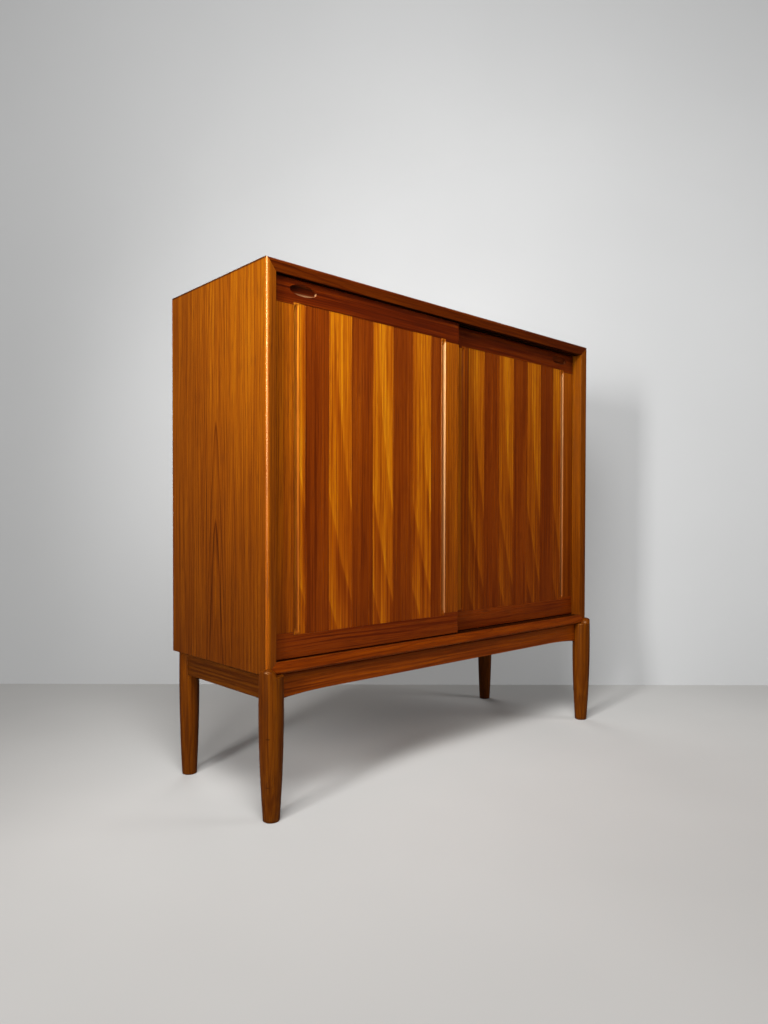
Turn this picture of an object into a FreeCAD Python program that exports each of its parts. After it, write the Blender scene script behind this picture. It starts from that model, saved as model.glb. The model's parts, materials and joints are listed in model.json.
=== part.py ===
import FreeCAD, Part
import math
import os

# A tall cabinet with two sliding doors, standing on four turned legs.
# Millimetres. X runs along the width, Y from front to back, Z up.
# The origin is on the floor, under the middle of the whole cabinet.

# Carcase: four boards mitred into a box
carcase_width = 1200.0
carcase_depth = 418.0
carcase_height = 870.0
underside_height = 305.0
board_thickness = 26.0
front_bevel = 6.0
front_edge_round = 6.0
back_rebate_width = 10.0
back_rebate_depth = 8.0
spline_width = 20.0
spline_thickness = 4.0
spline_offset = 16.0
spline_stop = 45.0

# Back panel and its screws
back_thickness = 6.0
back_clearance = 0.5
back_screw_length = 18.0
back_screw_head_radius = 3.2
back_screw_shank_radius = 1.5
back_screw_end_inset = 120.0
top_back_screw_count = 4
side_back_screw_count = 2

# Inside: divider, shelves and the pins that carry them
divider_thickness = 18.0
divider_door_clearance = 4.0
dado_depth = 6.0
shelf_thickness = 18.0
shelf_end_clearance = 1.0
shelf_setback = 10.0
shelf_back_clearance = 2.0
lower_shelf_height = 262.0
upper_shelf_height = 534.0
pin_radius = 2.5
pin_hole_depth = 8.0
pin_reach = 9.0
pin_front_inset = 40.0
pin_back_inset = 45.0
pin_seat_gap = 0.1

# Doors: frame, core board and a face of upright staves
door_thickness = 18.0
front_door_setback = 15.0
door_spacing = 3.0
door_overlap = 16.0
door_end_clearance = 1.0
shoulder_gap = 2.0
top_rail_height = 50.0
bottom_rail_height = 50.0
rail_corner_round = 3.0
rail_ear_drop = 6.0
arris_chamfer = 1.2
lip_width = 51.0
cove_width = 15.0
cove_depth = 6.8
cove_end_gap = 3.0
field_recess = 1.0
stave_thickness = 6.0
stave_width = 66.0
first_stave_width = 16.0
panel_tongue_thickness = 5.0
panel_tongue_length = 6.0
panel_tongue_depth = 10.0
tenon_inset = 12.0

# Oval finger recess in each top rail
recess_length = 71.0
recess_height = 24.0
recess_depth = 7.5
recess_floor_radius = 18.0
recess_end_distance = 76.0
recess_drop = 22.0

# Tracks: tongues on the doors run in grooves in the top and bottom boards
tongue_thickness = 8.0
tongue_end_inset = 6.0
track_clearance = 0.5
top_tongue_engagement = 8.0
top_groove_depth = 13.0
bottom_tongue_engagement = 4.0
bottom_groove_depth = 5.0
glide_length = 40.0
glide_width = 5.0
glide_seat_depth = 3.0
glide_floor_gap = 0.3
glide_end_distance = 60.0

# Legs: turned; each front one has a round crown that climbs the corner of the carcase
leg_foot_radius = 17.5
front_leg_radius = 26.5
back_leg_radius = 24.0
leg_taper_height = 142.0
crown_height = 16.0
crown_reach = 21.0
front_leg_inset_x = 14.3
front_leg_inset_y = 7.6
back_leg_inset_x = 28.2
back_leg_inset_y = 29.9

# Aprons between the legs, tenoned into them
apron_thickness = 20.0
apron_shadow_gap = 3.0
apron_end_height = 53.0
arch_rise = 7.0
arch_run = 130.0
front_apron_inset = 16.0
side_apron_inset = 14.0
apron_tenon_thickness = 7.0
apron_tenon_height = 16.0
apron_tenon_reach = 22.0
low_tenon_drop = 26.0
high_tenon_drop = 4.0
front_tenon_inset = 1.0
side_tenon_inset = 2.0

# Cleats that hold the stand under the carcase, with their screws
cleat_length = 640.0
cleat_width = 25.0
cleat_height = 32.0
base_screw_length = 48.0
base_screw_head_radius = 4.2
base_screw_shank_radius = 2.1
base_screw_end_inset = 60.0
base_screw_count = 3

# Pins and screws have this many sides
fastener_sides = 6

# Cutting tools run this far past the faces that they cut
overcut = 1.0

# Two places this close together count as one
same_place = 0.1


def scoop_radius(width, depth):
    """Radius of a round-bottomed cut of this width and depth."""
    return ((width / 2) ** 2 + depth ** 2) / (2 * depth)


# Places worked out from the sizes
half_width = carcase_width / 2
inner_half = half_width - board_thickness
top_z = underside_height + carcase_height
carcase_middle_z = underside_height + carcase_height / 2
floor_z = underside_height + board_thickness
ceiling_z = top_z - board_thickness
leg_overhang = front_leg_radius - front_leg_inset_y
overall_depth = carcase_depth + leg_overhang
front_y = leg_overhang - overall_depth / 2
back_y = front_y + carcase_depth
back_panel_front_y = back_y - back_rebate_depth

door_width = inner_half - door_end_clearance + door_overlap / 2
front_door_y = front_y + front_door_setback
rear_door_y = front_door_y + door_thickness + door_spacing
left_door_x = door_end_clearance - inner_half
right_door_x = inner_half - door_end_clearance - door_width
shoulder_top_z = ceiling_z - shoulder_gap
shoulder_bottom_z = floor_z + shoulder_gap
field_top_z = shoulder_top_z - top_rail_height
field_bottom_z = shoulder_bottom_z + bottom_rail_height
cove_radius = scoop_radius(cove_width, cove_depth)
cove_axis_y = cove_depth - cove_radius
cove_run = math.sqrt(cove_radius ** 2 - (field_recess - cove_axis_y) ** 2)
stile_width = lip_width + cove_width / 2 + cove_run
tongue_offset = (door_thickness - tongue_thickness) / 2
core_depth = field_recess + stave_thickness

divider_front_y = rear_door_y + door_thickness + divider_door_clearance
shelf_front_y = divider_front_y + shelf_setback
shelf_back_y = back_panel_front_y - shelf_back_clearance
shelf_tops = {
    "lower": floor_z + lower_shelf_height,
    "upper": floor_z + upper_shelf_height,
}

apron_top_z = underside_height - apron_shadow_gap
apron_end_z = apron_top_z - apron_end_height
front_leg_x = half_width - front_leg_inset_x
front_leg_y = front_y + front_leg_inset_y
back_leg_x = half_width - back_leg_inset_x
back_leg_y = back_y - back_leg_inset_y
front_apron_y = front_y + front_apron_inset
side_apron_x = half_width - side_apron_inset
back_apron_y = back_leg_y - apron_thickness / 2


def point(x, y, z):
    return FreeCAD.Vector(x, y, z)


def box(x0, x1, y0, y1, z0, z1):
    """Block between two corners."""
    return Part.makeBox(x1 - x0, y1 - y0, z1 - z0, point(x0, y0, z0))


def prism(corners, direction):
    """Solid extruded from the closed outline through the corners."""
    outline = Part.makePolygon(corners + corners[:1])
    return Part.Face(outline).extrude(direction)


def fused(solids):
    """One solid from several that touch, with its flat faces merged."""
    return solids[0].multiFuse(solids[1:]).removeSplitter()


def edges_where(solid, test):
    """Edges of a solid whose middle point passes the test."""
    return [edge for edge in solid.Edges if test(edge.BoundBox.Center)]


def near(value, target):
    return abs(value - target) < same_place


def spaced(low, high, count):
    """Evenly spaced places from low to high."""
    step = (high - low) / (count - 1)
    return [low + step * index for index in range(count)]


def ring(radius, z):
    """Corners of a regular outline round the Z axis, with flats this far from it."""
    corner = radius / math.cos(math.pi / fastener_sides)
    angles = [2 * math.pi * (side + 0.5) / fastener_sides for side in range(fastener_sides)]
    return [point(corner * math.cos(angle), corner * math.sin(angle), z) for angle in angles]


def frustum(low, high):
    """Solid with flat sides between two rings of corners."""
    faces = [Part.Face(Part.makePolygon(corners + corners[:1])) for corners in (low, high)]
    for index in range(len(low)):
        corners = [low[index - 1], low[index], high[index], high[index - 1]]
        faces.append(Part.Face(Part.makePolygon(corners + corners[:1])))
    return Part.Solid(Part.Shell(faces))


def rod(radius, start, reach):
    """Pin from a start point along a reach, with few sides."""
    bar = prism(ring(radius, 0), point(0, 0, reach.Length))
    bar.Placement = FreeCAD.Placement(start, FreeCAD.Rotation(point(0, 0, 1), reach))
    return bar


def wood_screw(length, head_radius, shank_radius):
    """Countersunk screw of few sides, its head flush with z = 0 and its point down."""
    head_height = head_radius - shank_radius
    head = frustum(ring(shank_radius, -head_height), ring(head_radius, 0))
    shank = prism(ring(shank_radius, -length), point(0, 0, length - head_height))
    return fused([head, shank])


def carcase_board(length):
    """Mitred board, outer face up at z = 0, front edge at y = 0, bevelled and rebated."""
    start = -length / 2
    rebate_y = carcase_depth - back_rebate_depth
    rebate_z = back_rebate_width - board_thickness
    section = [
        point(start, carcase_depth, 0),
        point(start, 0, 0),
        point(start, front_bevel, -board_thickness),
        point(start, rebate_y, -board_thickness),
        point(start, rebate_y, rebate_z),
        point(start, carcase_depth, rebate_z),
    ]
    plank = prism(section, point(length, 0, 0))
    front_edge = edges_where(plank, lambda middle: near(middle.y, 0) and near(middle.z, 0))
    plank = plank.makeFillet(front_edge_round, front_edge)
    short = length / 2 - board_thickness
    mitres = [
        point(-length / 2, -overcut, 0),
        point(length / 2, -overcut, 0),
        point(short, -overcut, -board_thickness),
        point(-short, -overcut, -board_thickness),
    ]
    return plank.common(prism(mitres, point(0, carcase_depth + 2 * overcut, 0)))


def placed_board(length, turn, x, z):
    """Mitred board turned about Y, with its outer face on the outside of the box."""
    board = carcase_board(length)
    board.rotate(point(0, 0, 0), point(0, 1, 0), turn)
    board.translate(point(x, front_y, z))
    return board


def corner_splines():
    """Loose tongues across the four mitres."""
    splines = []
    for side in (-1, 1):
        for level in (-1, 1):
            spline = Part.makeBox(
                spline_width,
                carcase_depth - 2 * spline_stop,
                spline_thickness,
                point(-spline_width / 2, 0, -spline_thickness / 2),
            )
            spline.rotate(point(0, 0, 0), point(0, 1, 0), 45 * side * level)
            centre_z = carcase_middle_z + level * (carcase_height / 2 - spline_offset)
            spline.translate(point(side * (half_width - spline_offset), front_y + spline_stop, centre_z))
            splines.append(spline)
    return splines


def track_groove(face_y, z0, z1):
    """Groove for one door's tongue."""
    y0 = face_y + tongue_offset - track_clearance
    y1 = y0 + tongue_thickness + 2 * track_clearance
    return box(-inner_half, inner_half, y0, y1, z0, z1)


def back_panel():
    reach_x = inner_half + back_rebate_width - back_clearance
    reach_z = back_rebate_width - back_clearance
    back_face = back_panel_front_y + back_thickness
    return box(-reach_x, reach_x, back_panel_front_y, back_face, floor_z - reach_z, ceiling_z + reach_z)


def back_screws():
    """Screws round the edge of the back panel, into the rebates."""
    line_x = inner_half + back_rebate_width / 2
    line_low = floor_z - back_rebate_width / 2
    line_high = ceiling_z + back_rebate_width / 2
    places = []
    for x in spaced(back_screw_end_inset - line_x, line_x - back_screw_end_inset, top_back_screw_count):
        places += [(x, line_low), (x, line_high)]
    for z in spaced(line_low + back_screw_end_inset, line_high - back_screw_end_inset, side_back_screw_count):
        places += [(-line_x, z), (line_x, z)]
    screws = []
    for x, z in places:
        screw = wood_screw(back_screw_length, back_screw_head_radius, back_screw_shank_radius)
        screw.rotate(point(0, 0, 0), point(1, 0, 0), -90)
        screw.translate(point(x, back_panel_front_y + back_thickness, z))
        screws.append(screw)
    return screws


def centre_divider():
    half = divider_thickness / 2
    return box(-half, half, divider_front_y, back_panel_front_y, floor_z - dado_depth, ceiling_z + dado_depth)


def shelf(side, top):
    """Loose shelf on one side of the divider."""
    near_x = divider_thickness / 2 + shelf_end_clearance
    far_x = inner_half - shelf_end_clearance
    x0, x1 = sorted((side * near_x, side * far_x))
    return box(x0, x1, shelf_front_y, shelf_back_y, top - shelf_thickness, top)


def shelf_pins():
    """Pins in the sides and the divider, four under each shelf."""
    pins = []
    for top in shelf_tops.values():
        pin_z = top - shelf_thickness - pin_radius - pin_seat_gap
        for pin_y in (shelf_front_y + pin_front_inset, shelf_back_y - pin_back_inset):
            for wall_x, direction in (
                (-inner_half, 1),
                (-divider_thickness / 2, -1),
                (divider_thickness / 2, 1),
                (inner_half, -1),
            ):
                start = point(wall_x - direction * pin_hole_depth, pin_y, pin_z)
                reach = point(direction * (pin_hole_depth + pin_reach), 0, 0)
                pins.append(rod(pin_radius, start, reach))
    return pins


def rail_blank(height, tongue_height):
    """Door rail along X, face at y = 0, field edge at z = 0 and outer edge up, with ears and tongue."""
    outline = [
        point(0, 0, -rail_ear_drop),
        point(lip_width, 0, -rail_ear_drop),
        point(lip_width, 0, 0),
        point(door_width - lip_width, 0, 0),
        point(door_width - lip_width, 0, -rail_ear_drop),
        point(door_width, 0, -rail_ear_drop),
        point(door_width, 0, height),
        point(0, 0, height),
    ]
    rail = prism(outline, point(0, door_thickness, 0))

    def outer_corner(middle):
        return near(middle.z, height) and (near(middle.x, 0) or near(middle.x, door_width))

    rail = rail.makeFillet(rail_corner_round, edges_where(rail, outer_corner))

    def face_arris(middle):
        at_end = middle.x < rail_corner_round or middle.x > door_width - rail_corner_round
        return near(middle.y, 0) and (at_end or near(middle.z, height))

    rail = rail.makeChamfer(arris_chamfer, edges_where(rail, face_arris))
    tongue = box(
        tongue_end_inset,
        door_width - tongue_end_inset,
        tongue_offset,
        tongue_offset + tongue_thickness,
        height,
        height + tongue_height,
    )
    panel_groove = box(
        tenon_inset,
        door_width - tenon_inset,
        panel_tongue_depth,
        panel_tongue_depth + panel_tongue_thickness,
        -rail_ear_drop - overcut,
        panel_tongue_length,
    )
    return fused([rail, tongue]).cut(panel_groove)


def finger_recess(centre_x, centre_z):
    """Oval pocket with a hollow floor, sunk into a face at y = 0."""
    oval = Part.Ellipse(point(recess_length / 2, 0, 0), point(0, 0, recess_height / 2), point(0, 0, 0))
    walls = Part.Face(Part.Wire(oval.toShape())).extrude(point(0, recess_depth + overcut, 0))
    walls.translate(point(0, -overcut, 0))
    hollow = Part.makeCylinder(
        recess_floor_radius,
        recess_length + 2 * overcut,
        point(-recess_length / 2 - overcut, recess_depth - recess_floor_radius, 0),
        point(1, 0, 0),
    )
    pocket = walls.common(hollow)
    pocket.translate(point(centre_x, 0, centre_z))
    return pocket


def door_top_rail(recess_x):
    rail = rail_blank(top_rail_height, shoulder_gap + top_tongue_engagement)
    rail = rail.cut(finger_recess(recess_x, top_rail_height - recess_drop))
    rail.translate(point(0, 0, field_top_z))
    return rail


def door_glides():
    """Slips set in the lower tongue, which slide on the floor of the groove."""
    low = floor_z - bottom_groove_depth + glide_floor_gap
    high = floor_z - bottom_tongue_engagement + glide_seat_depth
    near_y = (door_thickness - glide_width) / 2
    return [
        box(middle - glide_length / 2, middle + glide_length / 2, near_y, near_y + glide_width, low, high)
        for middle in (glide_end_distance, door_width - glide_end_distance)
    ]


def door_bottom_rail(glides):
    rail = rail_blank(bottom_rail_height, shoulder_gap + bottom_tongue_engagement)
    rail = rail.mirror(point(0, 0, 0), point(0, 0, 1))
    rail.translate(point(0, 0, field_bottom_z))
    return rail.cut(Part.makeCompound(glides))


def stile_cove():
    """Round-bottomed cove beside the lip, cut down from the face at its two round ends."""
    cove_x = lip_width + cove_width / 2
    low = field_bottom_z + cove_end_gap
    high = field_top_z - cove_end_gap
    scoop = Part.makeCylinder(cove_radius, high - low, point(cove_x, cove_axis_y, low), point(0, 0, 1))
    end_radius = cove_width / 2
    ends = [
        Part.makeCylinder(end_radius, cove_depth + overcut, point(cove_x, -overcut, end_z), point(0, 1, 0))
        for end_z in (low + end_radius, high - end_radius)
    ]
    middle = box(
        cove_x - end_radius, cove_x + end_radius, -overcut, cove_depth, low + end_radius, high - end_radius,
    )
    return scoop.common(fused([middle] + ends))


def door_stile():
    """Left-hand stile with its lip, its cove and its stub tenons."""
    stile = box(0, stile_width, 0, door_thickness, field_bottom_z, field_top_z)
    outer_arris = edges_where(stile, lambda middle: near(middle.x, 0) and near(middle.y, 0))
    stile = stile.makeChamfer(arris_chamfer, outer_arris)
    for ear_z in (field_bottom_z, field_top_z - rail_ear_drop):
        stile = stile.cut(box(
            -overcut, lip_width, -overcut, door_thickness + overcut, ear_z, ear_z + rail_ear_drop,
        ))
    groove_floor = stile_width - panel_tongue_length
    tenon = box(
        tenon_inset,
        groove_floor,
        panel_tongue_depth,
        panel_tongue_depth + panel_tongue_thickness,
        field_bottom_z - panel_tongue_length,
        field_top_z + panel_tongue_length,
    )
    panel_groove = box(
        groove_floor,
        stile_width + overcut,
        panel_tongue_depth,
        panel_tongue_depth + panel_tongue_thickness,
        field_bottom_z,
        field_top_z,
    )
    return fused([stile, tenon]).cut(panel_groove).cut(stile_cove())


def door_core():
    """Core board behind the staves, tongued into the frame all round."""
    low_x = stile_width
    high_x = door_width - stile_width
    tongue_y = panel_tongue_depth
    tongue_end = tongue_y + panel_tongue_thickness
    reach = panel_tongue_length
    return fused([
        box(low_x, high_x, core_depth, door_thickness, field_bottom_z, field_top_z),
        box(low_x - reach, high_x + reach, tongue_y, tongue_end, field_bottom_z, field_top_z),
        box(low_x, high_x, tongue_y, tongue_end, field_bottom_z - reach, field_top_z + reach),
    ])


def door_staves():
    """Upright staves from left to right; the first and last are narrow."""
    staves = []
    start = stile_width
    end = stile_width + first_stave_width
    limit = door_width - stile_width
    while start < limit:
        end = min(end, limit)
        staves.append(box(start, end, field_recess, core_depth, field_bottom_z, field_top_z))
        start = end
        end = start + stave_width
    return staves


def door(name, door_x, face_y, recess_x, light_first):
    """All the pieces of one door, by node name, in their place."""
    stile = door_stile()
    staves = door_staves()
    glides = door_glides()
    light = 0 if light_first else 1
    pieces = {
        "core": door_core(),
        "top_rail": door_top_rail(recess_x),
        "bottom_rail": door_bottom_rail(glides),
        "left_stile": stile,
        "right_stile": stile.mirror(point(door_width / 2, 0, 0), point(1, 0, 0)),
        "light_staves": Part.makeCompound(staves[light::2]),
        "dark_staves": Part.makeCompound(staves[1 - light::2]),
        "glides": Part.makeCompound(glides),
    }
    nodes = {}
    for piece, shape in pieces.items():
        shape.translate(point(door_x, face_y, 0))
        nodes[name + "_" + piece] = shape
    return nodes


def turned_leg(x, y, radius):
    """Leg turned on an upright axis: a taper from the foot, then a straight body up to the carcase."""
    profile = [
        point(x, y, 0),
        point(x + leg_foot_radius, y, 0),
        point(x + radius, y, leg_taper_height),
        point(x + radius, y, underside_height),
        point(x, y, underside_height),
    ]
    outline = Part.makePolygon(profile + profile[:1])
    return Part.Face(outline).revolve(point(x, y, 0), point(0, 0, 1), 360)


def front_leg(side):
    """Front leg, with the part of its crown that rises round the carcase's corner."""
    leg_x = side * front_leg_x
    crown_radius = scoop_radius(2 * crown_reach, crown_height)
    crown_centre = point(side * half_width, front_y, underside_height + crown_height - crown_radius)
    stem = Part.makeCylinder(front_leg_radius, crown_height, point(leg_x, front_leg_y, underside_height))
    crown = stem.common(Part.makeSphere(crown_radius, crown_centre))
    return fused([turned_leg(leg_x, front_leg_y, front_leg_radius), crown])


def arched_edge(x_end, x_start, end_z, start_z):
    """Arc level at its start and falling to its end."""
    run = abs(x_end - x_start)
    rise = start_z - end_z
    radius = (run ** 2 + rise ** 2) / (2 * rise)
    half_drop = radius - math.sqrt(radius ** 2 - (run / 2) ** 2)
    middle = point((x_end + x_start) / 2, 0, start_z - half_drop)
    return Part.Arc(point(x_end, 0, end_z), middle, point(x_start, 0, start_z)).toShape()


def front_apron(legs):
    """Apron between the front legs, its lower edge arched near the legs."""
    end_x = front_leg_x
    leg_face = front_leg_x - front_leg_radius
    level_x = leg_face - arch_run
    low_z = apron_end_z
    arch_z = apron_end_z + arch_rise
    outline = Part.Wire(Part.__sortEdges__([
        Part.makeLine(point(-end_x, 0, apron_top_z), point(end_x, 0, apron_top_z)),
        Part.makeLine(point(end_x, 0, apron_top_z), point(end_x, 0, low_z)),
        Part.makeLine(point(end_x, 0, low_z), point(leg_face, 0, low_z)),
        arched_edge(leg_face, level_x, low_z, arch_z),
        Part.makeLine(point(level_x, 0, arch_z), point(-level_x, 0, arch_z)),
        arched_edge(-leg_face, -level_x, low_z, arch_z),
        Part.makeLine(point(-leg_face, 0, low_z), point(-end_x, 0, low_z)),
        Part.makeLine(point(-end_x, 0, low_z), point(-end_x, 0, apron_top_z)),
    ]))
    apron = Part.Face(outline).extrude(point(0, apron_thickness, 0))
    apron.translate(point(0, front_apron_y, 0))
    near_reach = front_leg_x - (front_apron_y - front_leg_y)
    far_reach = near_reach - apron_thickness
    mitred = prism(
        [
            point(-near_reach, front_apron_y, apron_end_z),
            point(near_reach, front_apron_y, apron_end_z),
            point(far_reach, front_apron_y + apron_thickness, apron_end_z),
            point(-far_reach, front_apron_y + apron_thickness, apron_end_z),
        ],
        point(0, 0, apron_end_height),
    )
    return apron.common(mitred).cut(legs)


def back_apron(legs):
    apron = box(
        -back_leg_x,
        back_leg_x,
        back_apron_y,
        back_apron_y + apron_thickness,
        apron_end_z + arch_rise,
        apron_top_z,
    )
    return apron.cut(legs)


def side_apron(side, legs):
    """Apron along one side, mitred to the front apron behind the front leg."""
    outer = side_apron_x
    inner = side_apron_x - apron_thickness
    outer_start = front_leg_y + front_leg_x - outer
    inner_start = front_leg_y + front_leg_x - inner
    apron = prism(
        [
            point(side * outer, outer_start, apron_end_z),
            point(side * inner, inner_start, apron_end_z),
            point(side * inner, back_leg_y, apron_end_z),
            point(side * outer, back_leg_y, apron_end_z),
        ],
        point(0, 0, apron_end_height),
    )
    return apron.cut(legs)


def apron_tenons():
    """Two tenons for each apron; those that meet in a front leg lie one above the other."""
    low = (apron_top_z - low_tenon_drop - apron_tenon_height, apron_top_z - low_tenon_drop)
    high = (apron_top_z - high_tenon_drop - apron_tenon_height, apron_top_z - high_tenon_drop)

    def cross_tenons(leg_face, near_y):
        spans = [sorted((side * leg_face, side * (leg_face + apron_tenon_reach))) for side in (-1, 1)]
        return [box(x0, x1, near_y, near_y + apron_tenon_thickness, *low) for x0, x1 in spans]

    def side_tenons(side):
        outer_x = side_apron_x - side_tenon_inset
        x0, x1 = sorted((side * outer_x, side * (outer_x - apron_tenon_thickness)))
        front_face = front_leg_y + front_leg_radius
        back_face = back_leg_y - back_leg_radius
        return [
            box(x0, x1, front_face - apron_tenon_reach, front_face, *high),
            box(x0, x1, back_face, back_face + apron_tenon_reach, *high),
        ]

    return {
        "front_apron": cross_tenons(front_leg_x - front_leg_radius, front_apron_y + front_tenon_inset),
        "back_apron": cross_tenons(back_leg_x - back_leg_radius, back_leg_y - apron_tenon_thickness / 2),
        "left_apron": side_tenons(-1),
        "right_apron": side_tenons(1),
    }


def cleat(y0):
    """Cleat along the inner face of an apron, up against the carcase."""
    half = cleat_length / 2
    return box(-half, half, y0, y0 + cleat_width, underside_height - cleat_height, underside_height)


def base_screws(cleat_starts):
    """Screws up through the cleats into the carcase."""
    reach = cleat_length / 2 - base_screw_end_inset
    screws = []
    for y0 in cleat_starts:
        for x in spaced(-reach, reach, base_screw_count):
            screw = wood_screw(base_screw_length, base_screw_head_radius, base_screw_shank_radius)
            screw.rotate(point(0, 0, 0), point(1, 0, 0), 180)
            screw.translate(point(x, y0 + cleat_width / 2, underside_height - cleat_height))
            screws.append(screw)
    return screws


def build():
    """Every piece of the cabinet, by node name."""
    nodes = {}

    boards = {
        "top_panel": placed_board(carcase_width, 0, 0, top_z),
        "bottom_panel": placed_board(carcase_width, 180, 0, underside_height),
        "left_side_panel": placed_board(carcase_height, -90, -half_width, carcase_middle_z),
        "right_side_panel": placed_board(carcase_height, 90, half_width, carcase_middle_z),
    }
    corner = Part.makeCompound(list(boards.values()))

    blanks = {
        "front_left_leg": front_leg(-1),
        "front_right_leg": front_leg(1),
        "back_left_leg": turned_leg(-back_leg_x, back_leg_y, back_leg_radius),
        "back_right_leg": turned_leg(back_leg_x, back_leg_y, back_leg_radius),
    }
    all_legs = Part.makeCompound(list(blanks.values()))
    tenons = apron_tenons()
    mortises = Part.makeCompound([tenon for pair in tenons.values() for tenon in pair])
    for name, blank in blanks.items():
        nodes[name] = blank.cut(corner).cut(mortises)
    aprons = {
        "front_apron": front_apron(all_legs),
        "back_apron": back_apron(all_legs),
        "left_apron": side_apron(-1, all_legs),
        "right_apron": side_apron(1, all_legs),
    }
    for name, apron in aprons.items():
        nodes[name] = fused([apron] + tenons[name])

    cleat_starts = {
        "front_cleat": front_apron_y + apron_thickness,
        "back_cleat": back_apron_y - cleat_width,
    }
    stand_screws = Part.makeCompound(base_screws(cleat_starts.values()))
    for name, y0 in cleat_starts.items():
        nodes[name] = cleat(y0).cut(stand_screws)
    nodes["base_screws"] = stand_screws

    splines = Part.makeCompound(corner_splines())
    panel_screws = Part.makeCompound(back_screws())
    pins = Part.makeCompound(shelf_pins())
    divider = centre_divider()
    machining = Part.makeCompound([
        track_groove(front_door_y, ceiling_z, ceiling_z + top_groove_depth),
        track_groove(rear_door_y, ceiling_z, ceiling_z + top_groove_depth),
        track_groove(front_door_y, floor_z - bottom_groove_depth, floor_z),
        track_groove(rear_door_y, floor_z - bottom_groove_depth, floor_z),
    ])
    for name, board in boards.items():
        for tool in (splines, machining, panel_screws, pins, stand_screws, divider):
            board = board.cut(tool)
        nodes[name] = board
    nodes["corner_splines"] = splines
    nodes["back_panel"] = back_panel().cut(panel_screws)
    nodes["back_screws"] = panel_screws
    nodes["centre_divider"] = divider.cut(pins)
    for level, top in shelf_tops.items():
        nodes["left_" + level + "_shelf"] = shelf(-1, top)
        nodes["right_" + level + "_shelf"] = shelf(1, top)
    nodes["shelf_pins"] = pins

    nodes.update(door("left_door", left_door_x, front_door_y, recess_end_distance, True))
    nodes.update(door("right_door", right_door_x, rear_door_y, door_width - recess_end_distance, False))
    return nodes


os.makedirs("parts", exist_ok=True)
for node, shape in build().items():
    shape.exportStep("parts/" + node + ".step")
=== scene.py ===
import json
import math

import bmesh
import bpy
from mathutils import Matrix, Vector

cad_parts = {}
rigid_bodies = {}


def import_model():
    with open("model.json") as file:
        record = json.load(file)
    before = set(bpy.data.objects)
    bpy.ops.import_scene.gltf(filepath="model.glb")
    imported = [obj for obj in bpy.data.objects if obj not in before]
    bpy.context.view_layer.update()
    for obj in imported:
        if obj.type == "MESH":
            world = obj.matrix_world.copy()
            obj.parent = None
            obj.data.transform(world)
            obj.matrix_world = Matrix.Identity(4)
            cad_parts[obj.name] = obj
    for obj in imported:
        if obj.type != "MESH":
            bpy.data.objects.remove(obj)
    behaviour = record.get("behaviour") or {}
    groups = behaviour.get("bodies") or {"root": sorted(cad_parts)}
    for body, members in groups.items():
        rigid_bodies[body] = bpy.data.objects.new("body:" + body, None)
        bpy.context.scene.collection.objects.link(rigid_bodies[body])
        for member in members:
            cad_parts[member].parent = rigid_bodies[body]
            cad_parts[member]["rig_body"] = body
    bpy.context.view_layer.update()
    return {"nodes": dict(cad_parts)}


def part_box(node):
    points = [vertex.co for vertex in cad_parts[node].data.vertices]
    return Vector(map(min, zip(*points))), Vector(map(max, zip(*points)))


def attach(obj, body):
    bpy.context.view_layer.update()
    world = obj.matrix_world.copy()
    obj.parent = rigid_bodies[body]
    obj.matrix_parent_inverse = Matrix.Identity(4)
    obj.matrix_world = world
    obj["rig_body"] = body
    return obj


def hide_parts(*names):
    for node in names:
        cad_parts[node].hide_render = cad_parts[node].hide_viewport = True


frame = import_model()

# A teak cabinet with two sliding doors on four turned legs.
# Metres. X runs along the width, Y from front to back, Z up, as in the frame.

# How far the square edges of each kind of piece are eased
board_arris = 0.0006
frame_arris = 0.0003
apron_arris = 0.0012
shelf_arris = 0.0010

# Edges between the first two angles count as square, and flatter ones than the third are shaded smooth
least_square_angle = math.radians(75)
most_square_angle = math.radians(105)
smooth_angle = math.radians(32)

# Copies of the frame's meshes have doubles and flat faces merged within these limits
weld_distance = 0.00002
flat_angle = math.radians(0.4)

# Legs: one parabola from the foot past its fullest height. On the front pair a crown goes on up,
# rounded about the carcase's own corner, with a flat ledge beside it.
leg_foot_radius = 0.0175
front_leg_radius = 0.0266
back_leg_radius = 0.0242
leg_full_height = 0.240
leg_foot_round = 0.0015
crown_height = 0.016
crown_reach = 0.021
crown_radius = (crown_reach ** 2 + crown_height ** 2) / (2 * crown_height)
leg_sides = 64
leg_rings = 34

# Knots of the front left leg: their places, where they are darkest, where they end, how flat and how dark
leg_knots = ((-0.6049, -0.2080, 0.178), (-0.6020, -0.2035, 0.076))
knot_middle = 0.0025
knot_edge = 0.006
knot_flatness = 2.6
knot_darkness = 0.75

# Screws, with the parts of one as shares of its slot's width, its head's radius or its shank's radius
back_screw = {"Head Radius": 0.0032, "Shank Radius": 0.0013, "Length": 0.018, "Slot Width": 0.0009}
base_screw = {"Head Radius": 0.0042, "Shank Radius": 0.0018, "Length": 0.048, "Slot Width": 0.0011}
slot_depth_share = 1.8
slot_length_share = 2.4
screw_point_share = 0.35
thread_pitch_share = 1.1
thread_point_share = 0.45
thread_ridge_share = 0.22
thread_length_share = 0.7
head_sides = 32
shank_sides = 16
thread_steps = 14
ridge_sides = 3

# Pins, with the parts of one as shares of its radius
pin_radius = 0.0025
pin_nose_share = 0.4
pin_tip_share = 0.6
pin_sides = 24

# Screws and pins are turned by chance with this seed
turning_seed = 4

# Staves, counted from the first full one of each door
stave_width = 0.066
stave_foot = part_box("left_door_light_staves")[0].z
stave_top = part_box("left_door_light_staves")[1].z
left_stave_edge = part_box("left_door_dark_staves")[0].x
right_stave_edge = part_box("right_door_light_staves")[0].x
stave_from_heart = 0.5
right_door_draws = 37.0

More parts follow.
